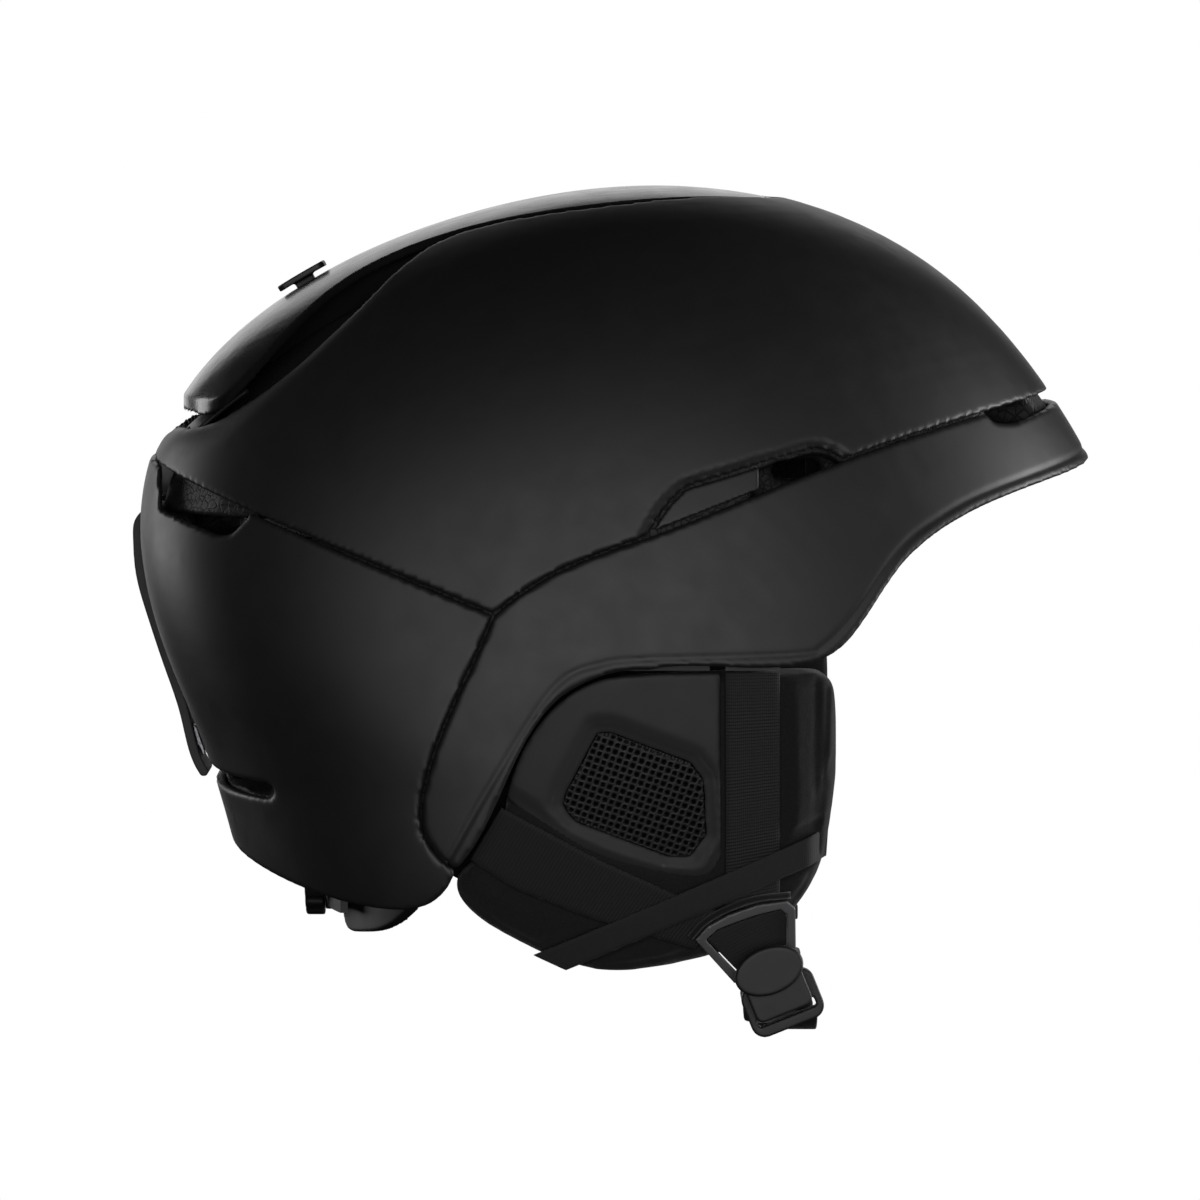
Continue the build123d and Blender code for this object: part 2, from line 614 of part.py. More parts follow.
def build_arm(side):
    """A fit arm: a straight rack over or under the pinion, then a wing round the nape.

    The riser between them stays clear of the other arm's rack when both are drawn in.
    """
    rack_x = DIAL_REAR + 6.9
    reach = RACK_LENGTH - 14
    rack = cross_prism(rack_outline(side, 2 * RACK_LENGTH), rack_x, rack_x + 2.4, DIAL_Z)
    rack = rack & box(-100, -70, min(-13 * side, reach * side), max(-13 * side, reach * side), -90, -40)
    height = DIAL_Z + side * 8.2
    low, high = min(height, WING_Z) - 4.2, WING_Z + 4.2
    ring = ring_wall(RING_RADIUS + 4.2, RING_RADIUS + 6.2, low, high)
    neck = ring & across_box(side, reach - 2.0, ARM_RISER[1], height - 4.2, height + 4.2)
    riser = ring & across_box(side, *ARM_RISER, low, high)
    wing = ring & across_box(side, ARM_RISER[0], 90, high - 8.4, high)
    return largest(largest(rack) + neck + riser + wing)


def build_fit_system():
    return {
        **build_dial(),
        **build_cradle(),
        "fit_arm_left": build_arm(1),
        "fit_arm_right": build_arm(-1),
    }


# ---------------------------------------------------------------- ear pads and straps (right side)

def pad_sphere(lift):
    """The ball whose face the ear pad's layers follow, lifted outwards."""
    x, z = PAD_TOP
    return Solid.make_sphere(PAD_SPHERE + lift, Plane((x, PAD_SPHERE - PAD_REACH, z)), -90, 90, 360)


def pad_layer(prism, low, high):
    """The part of a prism between two heights over the pad's face."""
    return largest((prism & pad_sphere(high)) - pad_sphere(low))


def near_side(edges):
    return side_prism(edges, -FAR, -20)


def quad(points):
    """A four-sided strap outline on the right side."""
    return side_polygon(points, -FAR, -20)


def pad_top_edge():
    """The ear pad's upper edge: a spline beside the wing, then straight under the temple."""
    return beside(WING_EDGE[:4], -PAD_CLEARANCE) + [(12, -0.3)]


def pad_outline():
    """The ear pad's whole outline: along the shells' edge, then the free lower edge."""
    rear = [(-42.6, -57.2)] + pad_top_edge()[1:4]
    bend, front, corner = (12, -0.3), (56, 0.2), PAD_LOWER[-1]
    return [
        Edge.make_spline(flat(rear)),
        Edge.make_line(*flat([rear[-1], bend])),
        Edge.make_line(*flat([bend, front])),
        Edge.make_three_point_arc(*flat([front, (62.3, -1.4), corner])),
        Edge.make_spline(flat(PAD_LOWER[::-1])),
        Edge.make_line(*flat([PAD_LOWER[0], rear[0]])),
    ]


def panel_outline():
    """The moulded panel over the upper rear of the ear pad."""
    start, bend, front = (-29.5, -36.0), (12, -0.3), (31.0, -0.1)
    rear = [start] + pad_top_edge()[1:4]
    low, corner, toe = (31.6, -52), (28.6, -58), (22, -59.2)
    return [
        Edge.make_spline(flat(rear)),
        Edge.make_line(*flat([rear[-1], bend])),
        Edge.make_line(*flat([bend, front])),
        Edge.make_line(*flat([front, low])),
        Edge.make_three_point_arc(*flat([low, corner, toe])),
        Edge.make_spline(flat([toe, (-3, -52.9), start])),
    ]


def grown_loop(points, grow=0.0):
    """A prism on the right side through side-view points, grown about their middle."""
    cx = sum(x for x, _ in points) / len(points)
    cz = sum(z for _, z in points) / len(points)
    loop = []
    for x, z in points:
        run = math.hypot(x - cx, z - cz)
        k = (run + grow) / run
        loop.append((cx + (x - cx) * k, cz + (z - cz) * k))
    return quad(loop)


def build_ear_pad():
    """Foam body, moulded panel with its recess, and the mesh in the panel's window."""
    x, z = PAD_TOP
    inner_centre = Plane((x, PAD_INNER_SPHERE - PAD_INNER_REACH, z))
    inner = Solid.make_sphere(PAD_INNER_SPHERE, inner_centre, -90, 90, 360)
    panel_prism = near_side(panel_outline())
    foam = largest((near_side(pad_outline()) & pad_sphere(-0.8)) - inner)
    panel = pad_layer(panel_prism, -3.0, 0.0)
    recess = pad_layer(grown_loop(WINDOW, 3.6), -1.3, 3.0)
    return {
        "ear_pad": largest(foam - pad_layer(panel_prism, -3.4, 3.0)),
        "ear_pad_panel": largest(panel - recess - grown_loop(WINDOW)),
        "ear_pad_mesh": pad_layer(grown_loop(WINDOW, -0.4), -2.9, -1.9),
    }


def build_ear_straps():
    """Webbing down the ear pad, the elastic band over it, and the divider ring."""
    front = quad([(32.5, -0.2), (48.0, -0.2), (48.4, -66.2), (32.9, -69.6)])
    rear = quad([(-31.0, -38.8), (-40.0, -54.2), (-27.0, -62.6), (-6.0, -71.0), (24.0, -80.6), (32.3, -70.2),
                 (20.0, -65.0), (-3.0, -54.2)])
    band = quad([(-22.0, -82.1), (62.3, -45.4), (61.8, -54.2), (-12.7, -86.6)])
    return {
        "strap_front": pad_layer(front, STRAP_LIFT, STRAP_LIFT + WEBBING),
        "strap_rear": pad_layer(rear, STRAP_LIFT, STRAP_LIFT + WEBBING),
        "pad_band": pad_layer(band, 1.2, 2.4),
        "strap_divider": largest(pad_layer(grown_loop(DIVIDER), 1.3, 3.9) - grown_loop(DIVIDER, -3.0)),
        "divider_webbing": pad_layer(grown_loop(DIVIDER, -3.4), 1.9, 3.2),
    }


# ---------------------------------------------------------------- anchors inside the shells

def both_sides(solids):
    return solids + [mirrored(s) for s in solids]


def anchor_solids(grow=0.0):
    """Moulded anchors, right then left, that hold the webbing's ends behind the band."""
    front = box(32.5 - grow, 48.0 + grow, -97.0 - grow, -95.0 + grow, 0.4 - grow, 10.0 + grow)
    stud = rod(40.2, 6.0, 2.4 + grow, -96.0, -82.0)
    head = rod(40.2, 6.0, 5.0 + grow, -82.0 - grow, -80.5)
    return both_sides([front + stud + head])


def hanger_solids(grow=0.0):
    """Flexible tabs, right then left, that hang each ear pad's panel from the liner."""
    return both_sides([box(2.0 - grow, 28.0 + grow, -99.2 - grow, -97.6 + grow, 0.6 - grow, 9.0 + grow)])


def build_anchors():
    anchors, hangers = anchor_solids(), hanger_solids()
    return {
        "strap_anchor_right": anchors[0],
        "strap_anchor_left": anchors[1],
        "ear_pad_hanger_right": hangers[0],
        "ear_pad_hanger_left": hangers[1],
    }


# ---------------------------------------------------------------- buckle and chin strap

def buckle_point(across, down):
    """Side-view point from the buckle's own across and down distances."""
    tilt = math.radians(BUCKLE_TILT)
    x = BUCKLE_AT[0] + across * math.cos(tilt) + down * math.sin(tilt)
    z = BUCKLE_AT[1] + across * math.sin(tilt) - down * math.cos(tilt)
    return x, z


def buckle_plane(x, z, y):
    """A plane facing outwards on the right, turned to the buckle's tilt."""
    tilt = math.radians(BUCKLE_TILT)
    return Plane((x, y, z), x_dir=(math.cos(tilt), 0, math.sin(tilt)), z_dir=(0, -1, 0))


def buckle_plate(half, top, bottom, corner, y0, y1):
    """A plate in the buckle's plane, with rounded corners."""
    across = (top + bottom) / 2
    sketch = buckle_plane(*buckle_point(0, across), y0) * RectangleRounded(2 * half, bottom - top, corner)
    return Solid.extrude(sketch.face(), Vector(0, y1 - y0, 0))


def build_buckle():
    """Magnetic buckle: base and button on the right strap, tongue on the chin strap."""
    base = buckle_plate(8.6, -4.0, 13.6, 2.2, BUCKLE_FACE + 4.4, BUCKLE_FACE)
    button_sketch = buckle_plane(*BUCKLE_AT, BUCKLE_FACE - 0.1) * Ellipse(10.2, 6.8)
    button = Solid.extrude(button_sketch.face(), Vector(0, -2.6, 0))
    button = button.fillet(0.9, [e for e in button.edges() if e.center().Y < BUCKLE_FACE - 2.0])
    tongue = buckle_plate(11.0, 3.4, 18.7, 4.0, BUCKLE_FACE + 8.6, BUCKLE_FACE + 4.8)
    slot = buckle_plate(8.8, 12.6, 15.4, 0.6, -60, -FAR)
    tongue = tongue - slot
    magnet = Solid.make_cylinder(4.0, 2.0, buckle_plane(*buckle_point(0, 8.0), BUCKLE_FACE + 3.4))
    base = base - magnet
    return {"buckle_base": base, "buckle_button": button, "buckle_tongue": tongue, "buckle_magnet": magnet}


def chin_path(lift):
    """The chin strap's line under the chin, in Y and Z, lifted inwards."""
    side = CHIN_SIDE - lift
    left = [(46, CHIN_LOW + 1.8 + lift), (side - 3.4, CHIN_LOW + 4.6 + lift), (side, CHIN_TOP)]
    return [(-y, z) for y, z in left[::-1]] + [(0, CHIN_LOW + lift)] + left


def chin_ribbon(width, low, high, y_limit=None):
    outer = [Vector(CHIN_X - width / 2, y, z) for y, z in chin_path(low)]
    inner = [Vector(CHIN_X - width / 2, y, z) for y, z in chin_path(high)]
    face = Face(Wire([
        Edge.make_spline(outer), Edge.make_line(outer[-1], inner[-1]),
        Edge.make_spline(inner), Edge.make_line(inner[0], outer[0]),
    ]))
    solid = Solid.extrude(face, Vector(width, 0, 0))
    if y_limit:
        solid = largest(solid & box(0, 100, -y_limit, y_limit, -FAR, -80))
    return solid


def build_chin_strap():
    """Chin webbing, its soft sleeve and the length adjuster on the left."""
    webbing = chin_ribbon(CHIN_WIDTH, 0.0, WEBBING)
    sleeve = chin_ribbon(CHIN_WIDTH + 5.0, -2.6, 4.6, 52.0)
    sleeve = sleeve - chin_ribbon(CHIN_WIDTH + 0.4, -0.2, WEBBING + 0.2)
    half = CHIN_WIDTH / 2
    riser = box(CHIN_X - half, CHIN_X + half, CHIN_SIDE - WEBBING, CHIN_SIDE, CHIN_TOP, -92.0)
    adjuster = box(CHIN_X - 12, CHIN_X + 12, CHIN_SIDE - 2.6, CHIN_SIDE + 1.6, CHIN_TOP, -92.0)
    adjuster = adjuster - box(CHIN_X - 9.8, CHIN_X + 9.8, CHIN_SIDE - 1.5, CHIN_SIDE + 0.3, -110, -80)
    tongue_room = buckle_plate(11.3, 3.0, 19.0, 4.0, -70, -FAR)
    return {
        "chin_strap": largest((webbing + riser) - tongue_room),
        "chin_pad": largest(sleeve),
        "strap_adjuster": largest(adjuster),
    }


# ---------------------------------------------------------------- everything

def build():
    nodes = {}
    groups = (build_shells, build_spine, build_side_vents, build_liner, build_comfort_pads,
              build_vent_slider, build_goggle_clip, build_fit_system, build_anchors, build_buckle,
              build_chin_strap)
    for group in groups:
        nodes.update(group())
    for name, solid in {**build_ear_pad(), **build_ear_straps()}.items():
        nodes[name + "_right"] = solid
        nodes[name + "_left"] = mirrored(solid)
    return nodes


os.makedirs("parts", exist_ok=True)
for name, shape in build().items():
    shape.label = name
    export_step(shape, "parts/" + name + ".step")
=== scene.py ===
"""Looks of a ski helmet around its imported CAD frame. Metres in Blender; helpers take millimetres."""
import json
import math

import bmesh
import bpy
import numpy as np
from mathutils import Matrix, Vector


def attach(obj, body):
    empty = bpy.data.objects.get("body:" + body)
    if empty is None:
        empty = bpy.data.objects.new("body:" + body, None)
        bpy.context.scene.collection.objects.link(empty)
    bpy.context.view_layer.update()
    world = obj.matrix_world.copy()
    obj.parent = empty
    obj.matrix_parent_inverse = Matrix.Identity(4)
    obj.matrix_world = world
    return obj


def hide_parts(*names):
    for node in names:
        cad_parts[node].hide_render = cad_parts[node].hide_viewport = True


MM = 0.001
SIDES = {"right": -1, "left": 1}        # sign of Y on each side of the wearer
HEAD_MIDDLE = np.array([0, 0, 20])      # millimetres

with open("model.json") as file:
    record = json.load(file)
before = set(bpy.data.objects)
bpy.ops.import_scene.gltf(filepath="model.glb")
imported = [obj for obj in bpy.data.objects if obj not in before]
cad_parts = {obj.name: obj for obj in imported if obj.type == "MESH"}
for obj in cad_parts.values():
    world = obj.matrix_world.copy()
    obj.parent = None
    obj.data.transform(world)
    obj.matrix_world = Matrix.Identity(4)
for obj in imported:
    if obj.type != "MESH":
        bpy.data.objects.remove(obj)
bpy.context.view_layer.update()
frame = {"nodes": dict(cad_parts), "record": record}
NODES = frame["nodes"]
BODY_OF = {node: body for body, nodes in frame["record"]["behaviour"]["bodies"].items() for node in nodes}
SLOT_OF = {s["node"]: s["material_slot"] for s in frame["record"]["subparts"]}


# ---------------------------------------------------------------- camera, floor and light

def build_camera():
    """The photograph's view: square on to the wearer's right, 5 degrees above."""
    aim, distance, elevation = Vector((-0.003, 0, 0.012)), 1.7, math.radians(5)
    data = bpy.data.cameras.new("camera")
    data.lens, data.sensor_width = 170, 36
    data.clip_start, data.clip_end = 0.05, 40
    camera = bpy.data.objects.new("camera", data)
    back = Vector((0, -math.cos(elevation), math.sin(elevation)))
    camera.location = aim + back * distance
    camera.rotation_euler = (-back).to_track_quat("-Z", "Y").to_euler()
    bpy.context.scene.collection.objects.link(camera)
    bpy.context.scene.camera = camera


def build_floor():
    """A plain pale floor well below the helmet, which is held up as by a head. It throws no light."""
    reach, height = 60.0, -0.42
    corners = [(-reach, -reach), (reach, -reach), (reach, reach), (-reach, reach)]
    mesh = bpy.data.meshes.new("floor")
    mesh.from_pydata([(x, y, height) for x, y in corners], [], [(0, 1, 2, 3)])
    floor = bpy.data.objects.new("floor", mesh)
    bpy.context.scene.collection.objects.link(floor)
    material = bpy.data.materials.new("floor_white")
    material.use_nodes = True
    tree = material.node_tree
    tree.nodes.clear()
    glow, output = tree.nodes.new("ShaderNodeEmission"), tree.nodes.new("ShaderNodeOutputMaterial")
    tree.links.new(glow.outputs[0], output.inputs["Surface"])
    mesh.materials.append(material)
    floor.visible_diffuse = floor.visible_glossy = floor.visible_shadow = False


def add_area(name, place, size, power):
    """A soft square light that faces the helmet."""
    data = bpy.data.lights.new(name, "AREA")
    data.shape, data.size, data.energy = "SQUARE", size, power
    light = bpy.data.objects.new(name, data)
    light.location = place
    light.rotation_euler = (-Vector(place)).to_track_quat("-Z", "Y").to_euler()
    bpy.context.scene.collection.objects.link(light)


def build_world():
    """A white studio that only the camera sees; the light comes from the softboxes."""
    world = bpy.data.worlds.new("studio")
    bpy.context.scene.world = world
    world.use_nodes = True
    world.node_tree.nodes["Background"].inputs["Color"].default_value = (1, 1, 1, 1)
    world.cycles_visibility.diffuse = world.cycles_visibility.glossy = False


build_camera()
build_world()
build_floor()
add_area("key_right", (0.1, -2.7, 0.4), 2.3, 33)
add_area("back_left", (-0.15, 2.5, 0.55), 2.2, 17)
add_area("fill_rear", (-2.4, 1.6, 0.4), 1.5, 20)
add_area("fill_front", (2.5, 0.35, 0.25), 1.5, 55)
bpy.context.scene.view_settings.view_transform = "Standard"


# ---------------------------------------------------------------- materials

class Look:
    """A Principled material with helpers that add texture in millimetres of object space."""

    def __init__(self, name, base, rough, specular=0.5, coords="Object", **direct):
        self.material = bpy.data.materials.new(name)
        self.material.use_nodes = True
        self.tree = self.material.node_tree
        self.shader = self.tree.nodes["Principled BSDF"]
        self.shader.inputs["Base Color"].default_value = (*base, 1)
        self.shader.inputs["Roughness"].default_value = rough
        self.shader.inputs["Specular IOR Level"].default_value = specular
        for socket, value in direct.items():
            self.shader.inputs[socket.replace("_", " ")].default_value = value
        self.base, self.rough = base, rough
        self.height = None
        self.scale_to_mm(coords)

    def scale_to_mm(self, coords):
        source = self.node("TexCoord")
        scaled = self.node("Mapping")
        if coords == "Object":
            scaled.inputs["Scale"].default_value = (1000, 1000, 1000)
        self.link(source.outputs[coords], scaled.inputs["Vector"])
        self.space = scaled.outputs["Vector"]

    def node(self, kind):
        return self.tree.nodes.new("ShaderNode" + kind)

    def link(self, a, b):
        self.tree.links.new(a, b)

    def noise(self, size, detail=2.0, roughness=0.5):
        """Noise whose features are about size millimetres."""
        found = self.node("TexNoise")
        found.inputs["Scale"].default_value = 1.0 / size
        found.inputs["Detail"].default_value = detail
        found.inputs["Roughness"].default_value = roughness
        self.link(self.space, found.inputs["Vector"])
        return found.outputs["Fac"]

    def cell_borders(self, size):
        """Distance to the borders of cells of about size millimetres."""
        found = self.node("TexVoronoi")
        found.feature = "DISTANCE_TO_EDGE"
        found.inputs["Scale"].default_value = 1.0 / size
        self.link(self.space, found.inputs["Vector"])
        return found.outputs["Distance"]

    def ranged(self, value, low, high, to_low=0.0, to_high=1.0):
        """The value, mapped from one range to another."""
        found = self.node("MapRange")
        found.inputs["From Min"].default_value = low
        found.inputs["From Max"].default_value = high
        found.inputs["To Min"].default_value = to_low
        found.inputs["To Max"].default_value = to_high
        self.link(value, found.inputs["Value"])
        return found.outputs["Result"]

    def product(self, a, b):
        found = self.node("Math")
        found.operation = "MULTIPLY"
        self.link(a, found.inputs[0])
        self.link(b, found.inputs[1])
        return found.outputs["Value"]

    def colour(self, value, other):
        """The base colour, changing to the other one as value goes from 0 to 1."""
        found = self.node("Mix")
        found.data_type = "RGBA"
        first, second = [socket for socket in found.inputs if socket.type == "RGBA"]
        first.default_value, second.default_value = (*self.base, 1), (*other, 1)
        self.link(value, found.inputs["Factor"])
        result = next(socket for socket in found.outputs if socket.type == "RGBA")
        self.link(result, self.shader.inputs["Base Color"])

    def roughen(self, value, spread):
        """Roughness that varies by spread about the base value."""
        varied = self.ranged(value, 0.3, 0.7, self.rough - spread, self.rough + spread)
        self.link(varied, self.shader.inputs["Roughness"])

    def relief(self, value, depth):
        """Adds height in millimetres to the bump."""
        bump = self.node("Bump")
        bump.inputs["Strength"].default_value = 1.0
        bump.inputs["Distance"].default_value = depth * MM
        self.link(value, bump.inputs["Height"])
        if self.height is not None:
            self.link(self.height, bump.inputs["Normal"])
        self.height = bump.outputs["Normal"]
        self.link(self.height, self.shader.inputs["Normal"])


def moulded_plastic(name, base, rough, grain=0.45, depth=0.012, specular=0.5, spread=0.03):
    """Spark-textured plastic: fine grain, roughness that varies by spread, and a painted highlight that
    lightens sharp convex edges.
    """
    look = Look(name, base, rough, specular)
    look.roughen(look.noise(9, 4), spread)
    edge = look.node("NewGeometry").outputs["Pointiness"]
    edge_highlight = tuple(c * 2.2 + 0.004 for c in base)
    # Painted highlight: sharp convex edges, found by pointiness, are coloured lighter.
    look.colour(look.ranged(edge, 0.53, 0.62, 0.0, 0.6), edge_highlight)
    look.relief(look.noise(grain, 2, 0.6), depth)
    return look.material


def bead_foam(name):
    """Moulded bead foam: flattened beads with thin joints."""
    look = Look(name, (0.02, 0.02, 0.0215), 0.6, 0.35)
    joints = look.cell_borders(2.3)
    look.relief(look.ranged(joints, 0.0, 0.12), 0.16)
    look.relief(look.noise(0.6, 3), 0.08)
    look.colour(look.ranged(joints, 0.0, 0.1, 0.6, 0.0), (0.009, 0.009, 0.01))
    return look.material


def fleece(name, base, nap=0.9, sheen=0.25):
    """Brushed knit with a short nap."""
    look = Look(name, base, 0.92, 0.25, Sheen_Weight=sheen, Sheen_Roughness=0.5)
    fibres = look.noise(0.55, 5, 0.75)
    clumps = look.noise(2.6, 3)
    look.colour(look.ranged(fibres, 0.35, 0.7), tuple(c * 0.45 for c in base))
    look.relief(clumps, nap * 0.25)
    look.relief(fibres, nap * 0.22)
    return look.material


def ribbed_weave(name, base, rib=1.0, twill=0.55):
    """Webbing: weft ribs from the mesh, and warp ends across them, from its UV in millimetres."""
    look = Look(name, base, 0.72, 0.35, coords="UV", Sheen_Weight=0.12, Sheen_Roughness=0.4)
    warp = look.node("TexWave")
    warp.wave_type, warp.bands_direction = "BANDS", "Y"
    warp.inputs["Scale"].default_value = 2 * math.pi / 20 / twill
    warp.inputs["Distortion"].default_value = 0.6
    warp.inputs["Detail"].default_value = 1.0
    look.link(look.space, warp.inputs["Vector"])
    weft = look.node("TexWave")
    weft.wave_type, weft.bands_direction = "BANDS", "X"
    weft.inputs["Scale"].default_value = 2 * math.pi / 20 / rib
    weft.inputs["Distortion"].default_value = 0.25
    look.link(look.space, weft.inputs["Vector"])
    threads = look.product(warp.outputs["Fac"], weft.outputs["Fac"])
    look.colour(look.ranged(threads, 0.0, 1.0), tuple(c * 1.9 for c in base))
    look.relief(warp.outputs["Fac"], 0.05)
    look.relief(look.noise(0.3, 3), 0.05)
    return look.material


def metal(name, base, rough):
    """Brushed metal with faint wear."""
    look = Look(name, base, rough, 0.5, Metallic=1.0)
    look.roughen(look.noise(1.2, 3), 0.08)
    look.relief(look.noise(0.5, 2), 0.004)
    return look.material


MATERIALS = {
    "shell_matte": moulded_plastic("shell_matte", (0.0135, 0.0135, 0.0142), 0.47, 0.5, 0.010),
    "spine_satin": moulded_plastic("spine_satin", (0.017, 0.017, 0.018), 0.24, 0.6, 0.003, spread=0.03),
    "foam_black": bead_foam("foam_black"),
    "lining_fabric": fleece("lining_fabric", (0.013, 0.013, 0.0145), 0.8),
    "ear_fabric": fleece("ear_fabric", (0.017, 0.017, 0.018), 0.5, 0.16),
    "ear_panel": moulded_plastic("ear_panel", (0.036, 0.036, 0.038), 0.6, 0.35, 0.012, 0.35),
    "mesh_plastic": moulded_plastic("mesh_plastic", (0.011, 0.011, 0.0115), 0.5, 0.3, 0.01, 0.4),
    "webbing": ribbed_weave("webbing", (0.013, 0.013, 0.0138)),
    "elastic": ribbed_weave("elastic", (0.017, 0.017, 0.018), 0.7, 0.4),
    "hard_plastic": moulded_plastic("hard_plastic", (0.012, 0.012, 0.0127), 0.5, 0.4, 0.01),
    "divider_plastic": moulded_plastic("divider_plastic", (0.105, 0.106, 0.11), 0.38, 0.5, 0.006),
    "clip_rubber": moulded_plastic("clip_rubber", (0.045, 0.045, 0.047), 0.55, 0.5, 0.01, 0.4),
    "clip_metal": metal("clip_metal", (0.2, 0.2, 0.21), 0.36),
    "steel": metal("steel", (0.5, 0.5, 0.52), 0.28),
    "gear_plastic": moulded_plastic("gear_plastic", (0.1, 0.1, 0.105), 0.4, 0.5, 0.006),
}
# Near-black painted shade for hollows and for faces turned away from the light.
SHADOW_BLACK = moulded_plastic("shadow_black", (0.0035, 0.0035, 0.0037), 0.8, 0.5, 0.02, 0.15)


def dress(piece, slot):
    """Gives a piece the material of a record slot."""
    piece.data.materials.clear()
    piece.data.materials.append(MATERIALS[slot])
    piece.data.polygons.foreach_set("material_index", [0] * len(piece.data.polygons))


def paint_shade_black(piece, shaded_faces):
    """Gives the chosen faces a near-black painted shade, for recesses and for faces turned away from the light.
    """
    piece.data.materials.append(SHADOW_BLACK)
    piece.data.polygons.foreach_set("material_index", shaded_faces.astype(np.int32))


# ---------------------------------------------------------------- mesh helpers

def shade_smooth(mesh):
    mesh.polygons.foreach_set("use_smooth", [True] * len(mesh.polygons))


def declare(piece, node, slot):
    """A piece in a slot's material that stands for a CAD node and rides on its body."""
    dress(piece, slot)
    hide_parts(node)
    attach(piece, BODY_OF[node])


def new_piece(name, points, faces, body, slot):
    """A mesh piece from millimetre points, riding on a body."""
    mesh = bpy.data.meshes.new(name)
    mesh.from_pydata([tuple(c * MM for c in p) for p in points], [], faces)
    mesh.update()
    piece = bpy.data.objects.new(name, mesh)
    bpy.context.scene.collection.objects.link(piece)
    shade_smooth(mesh)
    dress(piece, slot)
    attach(piece, body)
    return piece


def evaluated_mesh(piece):
    """The piece's mesh with its modifiers applied."""
    graph = bpy.context.evaluated_depsgraph_get()
    return bpy.data.meshes.new_from_object(piece.evaluated_get(graph), preserve_all_data_layers=False,
                                           depsgraph=graph)


def remeshed(name, node, voxel):
    """A copy of a CAD node's mesh as even quads of voxel millimetres."""
    source = bpy.data.objects.new(name, NODES[node].data.copy())
    bpy.context.scene.collection.objects.link(source)
    modifier = source.modifiers.new("remesh", "REMESH")
    modifier.mode, modifier.voxel_size, modifier.use_smooth_shade = "VOXEL", voxel * MM, True
    mesh = evaluated_mesh(source)
    source.modifiers.clear()
    source.data = mesh
    mesh.name = name
    return source


def face_array(mesh, what):
    """Each face's center or normal, in Blender's units."""
    values = np.empty(len(mesh.polygons) * 3)
    mesh.polygons.foreach_get(what, values)
    return values.reshape(-1, 3)


def vertex_array(mesh):
    """Vertex places in millimetres."""
    points = np.empty(len(mesh.vertices) * 3)
    mesh.vertices.foreach_get("co", points)
    return points.reshape(-1, 3) / MM


def set_vertices(mesh, points):
    mesh.vertices.foreach_set("co", (points * MM).astype(np.float32).ravel())
    mesh.update()


def edge_array(mesh):
    pairs = np.empty(len(mesh.edges) * 2, dtype=np.int64)
    mesh.edges.foreach_get("vertices", pairs)
    return pairs.reshape(-1, 2)


def relaxed(points, pairs, passes):
    """Even smoothing that rounds edges: each pass moves a point half way to the mean of its neighbours."""
    count = np.bincount(pairs.ravel(), minlength=len(points)).astype(float)[:, None]
    for _ in range(passes):
        total = np.zeros_like(points)
        for axis in range(3):
            total[:, axis] = (np.bincount(pairs[:, 0], points[pairs[:, 1], axis], len(points))
                              + np.bincount(pairs[:, 1], points[pairs[:, 0], axis], len(points)))
        points = points + 0.5 * (total / np.maximum(count, 1) - points)
    return points


def normal_array(mesh):
    normals = np.empty(len(mesh.vertices) * 3)
    mesh.vertex_normals.foreach_get("vector", normals)
    return normals.reshape(-1, 3)


def rounded(node, voxel, passes, shape=None, grow=0.0):
    """A CAD node rebuilt with softly rounded edges, grown a little to make up for them, then shaped."""
    piece = remeshed(node + "_skin", node, voxel)
    points, pairs = vertex_array(piece.data), edge_array(piece.data)
    points = relaxed(points, pairs, passes) + normal_array(piece.data) * grow
    if shape:
        points = shape(points, normal_array(piece.data))
    set_vertices(piece.data, points)
    shade_smooth(piece.data)
    declare(piece, node, SLOT_OF[node])
    return piece


def smooth(value):
    """A soft step from 0 to 1."""
    value = np.clip(value, 0, 1)
    return value * value * (3 - 2 * value)


def path_distance(x, z, path):
    """Distance in side view from points to a line through path."""
    best = np.full(np.shape(x), 1e9)
    for (x0, z0), (x1, z1) in zip(path, path[1:]):
        dx, dz = x1 - x0, z1 - z0
        t = np.clip(((x - x0) * dx + (z - z0) * dz) / (dx * dx + dz * dz), 0, 1)
        best = np.minimum(best, np.hypot(x - x0 - t * dx, z - z0 - t * dz))
    return best


def curve_through(points, per_span=8):
    """Points of a smooth curve through the given side-view points."""
    points = [np.array(p, float) for p in points]
    ends = [2 * points[0] - points[1]] + points + [2 * points[-1] - points[-2]]
    found = []
    for a, b, c, d in zip(ends, ends[1:], ends[2:], ends[3:]):
        for i in range(per_span):
            t = i / per_span
            found.append(tuple(0.5 * (2 * b + (c - a) * t + (2 * a - 5 * b + 4 * c - d) * t * t
                                      + (3 * b - 3 * c + d - a) * t ** 3)))
    return found + [tuple(points[-1])]


# ---------------------------------------------------------------- shells
# Outlines repeat the CAD's, in millimetres: X and Z in side view, or X and distance from the middle in plan.

TEMPLE_EDGE = [(11, 1.4), (53.5, 2.3), (62.1, 4.9), (72.1, 15), (83.8, 30.9), (94.1, 39), (112.2, 47.2),
               (155, 58.5)]
WING_EDGE = [(-44, -55.5), (-29.8, -30.5), (-13.7, -5.8), (-1.6, 0.1), (11, 1.4)]
CHANNEL_REAR = [(-52.6, 37.8), (-68.2, 50.4), (-95.3, 58.9), (-114.5, 54.1), (-128.9, 28.7), (-132.5, 0)]


def outward_of(points, normals):
    """True where a shell's face looks away from the middle of the head."""
    return np.einsum("ij,ij->i", points - HEAD_MIDDLE, normals) > 0


def rolled_rim(points, normals):
    """A rolled rim along the band's lower edge: a shallow groove, then a soft bead."""
    edge = curve_through(WING_EDGE)[:-1] + curve_through(TEMPLE_EDGE)
    away = path_distance(points[:, 0], points[:, 2], edge)
    groove = -0.34 * np.exp(-((away - 3.2) / 0.9) ** 2)
    bead = 0.08 * np.exp(-((away - 1.3) / 1.0) ** 2)
    return points + normals * ((groove + bead) * outward_of(points, normals))[:, None]


